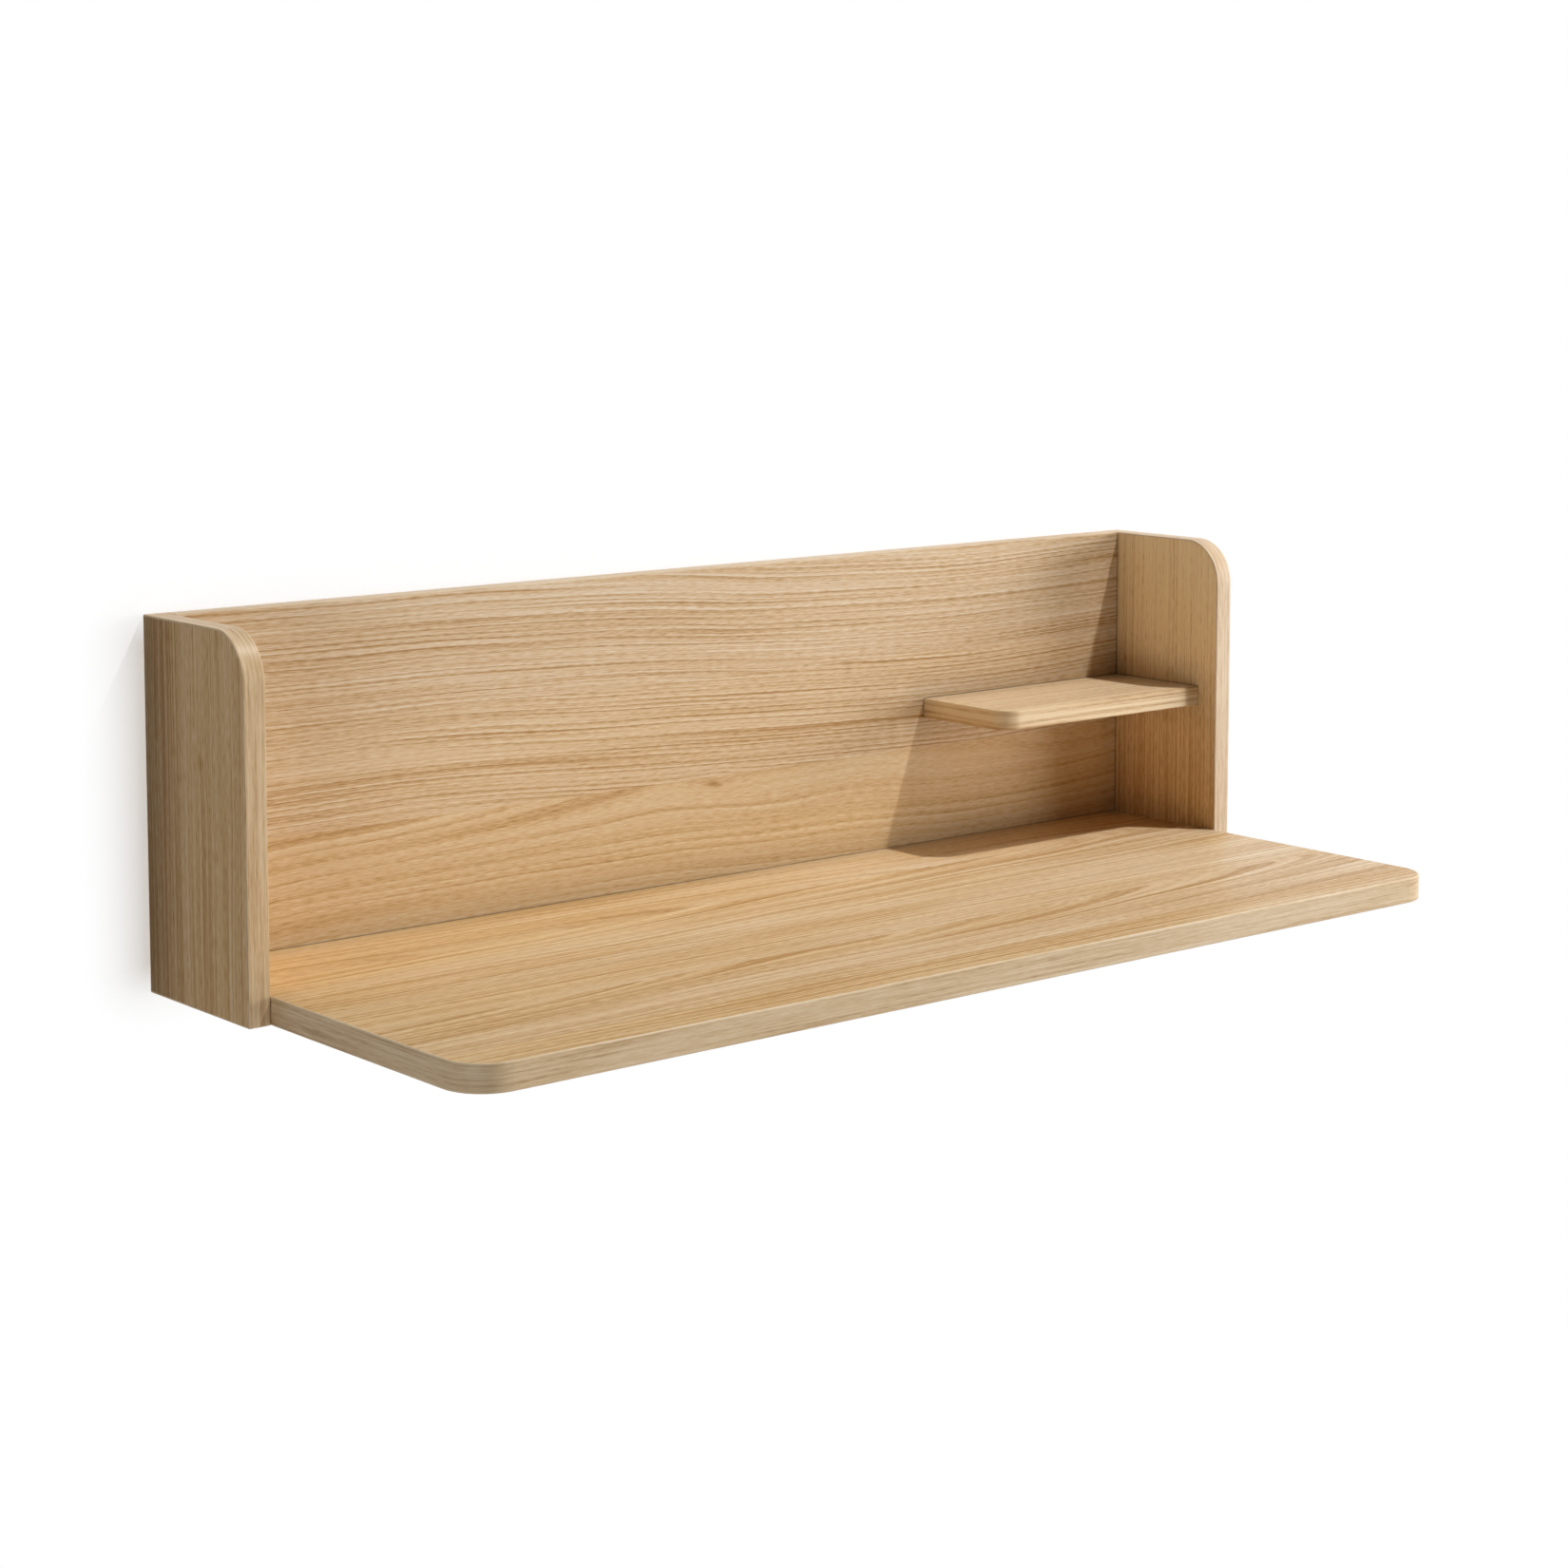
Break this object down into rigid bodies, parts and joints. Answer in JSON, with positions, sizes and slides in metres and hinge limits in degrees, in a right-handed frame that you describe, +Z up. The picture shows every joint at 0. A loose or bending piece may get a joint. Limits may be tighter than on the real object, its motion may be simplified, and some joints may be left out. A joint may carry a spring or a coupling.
{
  "type": "floating wall desk",
  "caption": "Floating wall desk with an open back and sides, a deep desktop with rounded front corners, a small corner shelf, and a hidden cleat that hangs it on a wall.",
  "frame": {"origin": "middle of the wall cleat's row of wall screw holes, on the wall's surface", "axes": "+X to the right along the wall, +Y into the wall so that the desk's front faces -Y, +Z up"},
  "size_m": [1.08, 0.42, 0.3],
  "materials": {
    "oak_veneer": "satin",
    "oak_edge_band": "satin",
    "board_core": "raw",
    "beech": "raw",
    "zinc": "cast",
    "steel": "zinc plated",
    "aluminium": "mill"
  },
  "bodies": {
    "wall_cleat": {"wall_cleat": "aluminium"},
    "desk": {"left_side_outer_veneer": "oak_veneer", "left_side_inner_veneer": "oak_veneer", "left_side_front_band": "oak_edge_band", "left_side_bottom_band": "oak_edge_band", "left_side_rear_band": "oak_edge_band", "right_side_outer_veneer": "oak_veneer", "right_side_inner_veneer": "oak_veneer", "right_side_front_band": "oak_edge_band", "right_side_bottom_band": "oak_edge_band", "right_side_rear_band": "oak_edge_band", "back_panel_front_veneer": "oak_veneer", "back_panel_rear_veneer": "oak_veneer", "back_panel_top_band": "oak_edge_band", "back_panel_bottom_band": "oak_edge_band", "desktop_top_veneer": "oak_veneer", "desktop_bottom_veneer": "oak_veneer", "desktop_edge_band": "oak_edge_band", "shelf_top_veneer": "oak_veneer", "shelf_bottom_veneer": "oak_veneer", "shelf_edge_band": "oak_edge_band", "left_side_core": "board_core", "right_side_core": "board_core", "back_panel_core": "board_core", "desktop_core": "board_core", "shelf_core": "board_core", "desktop_cam_bolts": "steel", "back_cam_bolts": "steel", "desktop_dowels": "beech", "back_dowels": "beech", "shelf_dowels": "beech", "desktop_screws": "steel", "shelf_screws": "steel", "panel_cleat_screws": "steel", "panel_cleat": "aluminium"},
    "desktop_cam_left_rear": {"desktop_cam_left_rear": "zinc"},
    "desktop_cam_left_front": {"desktop_cam_left_front": "zinc"},
    "back_cam_left_lower": {"back_cam_left_lower": "zinc"},
    "back_cam_left_upper": {"back_cam_left_upper": "zinc"},
    "desktop_cam_right_rear": {"desktop_cam_right_rear": "zinc"},
    "desktop_cam_right_front": {"desktop_cam_right_front": "zinc"},
    "back_cam_right_lower": {"back_cam_right_lower": "zinc"},
    "back_cam_right_upper": {"back_cam_right_upper": "zinc"}
  },
  "joints": [
    {"name": "desk_lift", "type": "slide", "parent": "wall_cleat", "child": "desk", "axis": [0, 0, 1], "range_m": [0, 0.011]},
    {"name": "desktop_cam_left_rear_turn", "type": "hinge", "parent": "desk", "child": "desktop_cam_left_rear", "pos_m": [-0.497, -0.0493, -0.1967], "axis": [0, 0, -1], "range_deg": [0, 180]},
    {"name": "desktop_cam_left_front_turn", "type": "hinge", "parent": "desk", "child": "desktop_cam_left_front", "pos_m": [-0.497, -0.122, -0.1967], "axis": [0, 0, -1], "range_deg": [0, 180]},
    {"name": "back_cam_left_lower_turn", "type": "hinge", "parent": "desk", "child": "back_cam_left_lower", "pos_m": [-0.497, -0.0095, -0.1477], "axis": [0, 1, 0], "range_deg": [0, 180]},
    {"name": "back_cam_left_upper_turn", "type": "hinge", "parent": "desk", "child": "back_cam_left_upper", "pos_m": [-0.497, -0.0095, 0.0473], "axis": [0, 1, 0], "range_deg": [0, 180]},
    {"name": "desktop_cam_right_rear_turn", "type": "hinge", "parent": "desk", "child": "desktop_cam_right_rear", "pos_m": [0.497, -0.0493, -0.1967], "axis": [0, 0, -1], "range_deg": [0, 180]},
    {"name": "desktop_cam_right_front_turn", "type": "hinge", "parent": "desk", "child": "desktop_cam_right_front", "pos_m": [0.497, -0.122, -0.1967], "axis": [0, 0, -1], "range_deg": [0, 180]},
    {"name": "back_cam_right_lower_turn", "type": "hinge", "parent": "desk", "child": "back_cam_right_lower", "pos_m": [0.497, -0.0095, -0.1477], "axis": [0, 1, 0], "range_deg": [0, 180]},
    {"name": "back_cam_right_upper_turn", "type": "hinge", "parent": "desk", "child": "back_cam_right_upper", "pos_m": [0.497, -0.0095, 0.0473], "axis": [0, 1, 0], "range_deg": [0, 180]}
  ]
}
